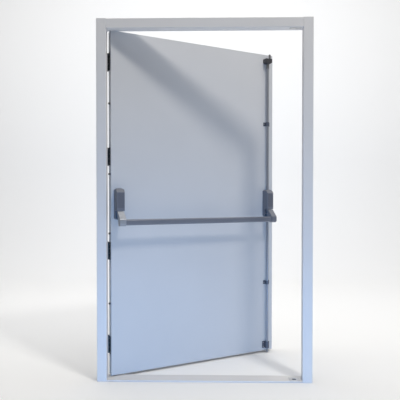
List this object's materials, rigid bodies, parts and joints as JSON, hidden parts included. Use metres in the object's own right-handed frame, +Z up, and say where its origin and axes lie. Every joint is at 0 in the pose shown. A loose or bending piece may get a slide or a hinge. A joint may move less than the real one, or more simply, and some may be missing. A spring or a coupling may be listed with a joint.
{
  "type": "fire exit door",
  "caption": "Steel fire exit door in its folded frame: a hinged leaf with a horizontal push bar whose crank draws back the upper and lower bolts together.",
  "frame": {"origin": "middle of the frame's width and depth, on the underside of the sill", "axes": "+Z up, +X to the right and +Y outward through the doorway, seen from inside"},
  "size_m": [1.2, 0.6198, 2.02],
  "materials": {
    "frame_paint": "satin",
    "leaf_paint": "satin",
    "inner_steel": "matte",
    "core_wool": "matte",
    "seal_rubber": "matte",
    "zinc_steel": "satin",
    "hinge_steel": "satin",
    "bolt_steel": "satin",
    "head_plastic": "satin",
    "panel_plastic": "satin",
    "arm_metal": "satin",
    "bar_paint": "satin",
    "rod_paint": "satin",
    "guide_paint": "satin",
    "latch_plastic": "satin"
  },
  "bodies": {
    "frame": {"hinge_jamb": "frame_paint", "lock_jamb": "frame_paint", "frame_head": "frame_paint", "sill": "frame_paint", "hinge_seal": "seal_rubber", "lock_seal": "seal_rubber", "head_seal": "seal_rubber", "top_strike": "zinc_steel", "sill_strike": "zinc_steel", "sill_socket": "latch_plastic", "strike_screws": "zinc_steel", "hinge_1_frame_plate": "hinge_steel", "hinge_2_frame_plate": "hinge_steel", "hinge_3_frame_plate": "hinge_steel", "hinge_4_frame_plate": "hinge_steel", "hinge_1_pin": "hinge_steel", "hinge_2_pin": "hinge_steel", "hinge_3_pin": "hinge_steel", "hinge_4_pin": "hinge_steel"},
    "leaf": {"hinge_1_leaf_plate": "hinge_steel", "hinge_2_leaf_plate": "hinge_steel", "hinge_3_leaf_plate": "hinge_steel", "hinge_4_leaf_plate": "hinge_steel", "inner_skin": "leaf_paint", "outer_skin": "leaf_paint", "core": "core_wool", "hinge_channel": "inner_steel", "lock_channel": "inner_steel", "top_channel": "inner_steel", "bottom_channel": "inner_steel", "dog_bolt_1": "hinge_steel", "dog_bolt_2": "hinge_steel", "dog_bolt_3": "hinge_steel", "dog_bolt_4": "hinge_steel", "active_base": "head_plastic", "passive_base": "head_plastic", "active_cover": "head_plastic", "passive_cover": "head_plastic", "active_panel": "panel_plastic", "passive_panel": "panel_plastic", "active_pivot_pin": "zinc_steel", "passive_pivot_pin": "zinc_steel", "top_latch_case": "latch_plastic", "upper_guide": "guide_paint", "lower_guide": "guide_paint", "bottom_guide": "guide_paint", "guide_screws": "zinc_steel"},
    "push_bar": {"push_bar": "bar_paint", "active_arm": "bar_paint", "passive_arm": "arm_metal"},
    "upper_rod": {"upper_rod": "rod_paint", "upper_carrier": "zinc_steel", "top_bolt": "bolt_steel"},
    "lower_rod": {"lower_rod": "rod_paint", "lower_carrier": "zinc_steel", "bottom_bolt": "bolt_steel"}
  },
  "joints": [
    {"name": "leaf_swing", "type": "hinge", "parent": "frame", "child": "leaf", "pos_m": [-0.5545, 0.0525, 0], "axis": [0, 0, 1], "range_deg": [-27, 143]},
    {"name": "push_bar_press", "type": "hinge", "parent": "leaf", "child": "push_bar", "pos_m": [-0.02298, 0.23073, 0.962], "axis": [0.891, 0.454, 0], "range_deg": [0, 26], "stiffness_Nm_per_rad": 8, "springref_deg": -28.65},
    {"name": "upper_rod_slide", "type": "slide", "parent": "leaf", "child": "upper_rod", "axis": [0, 0, 1], "range_m": [-0.0082, 0]},
    {"name": "lower_rod_slide", "type": "slide", "parent": "leaf", "child": "lower_rod", "axis": [0, 0, 1], "range_m": [0, 0.0082]}
  ],
  "couplings": [
    {"joint": "upper_rod_slide", "follows": "push_bar_press", "m_per_rad": -0.017846},
    {"joint": "lower_rod_slide", "follows": "push_bar_press", "m_per_rad": 0.017846}
  ]
}
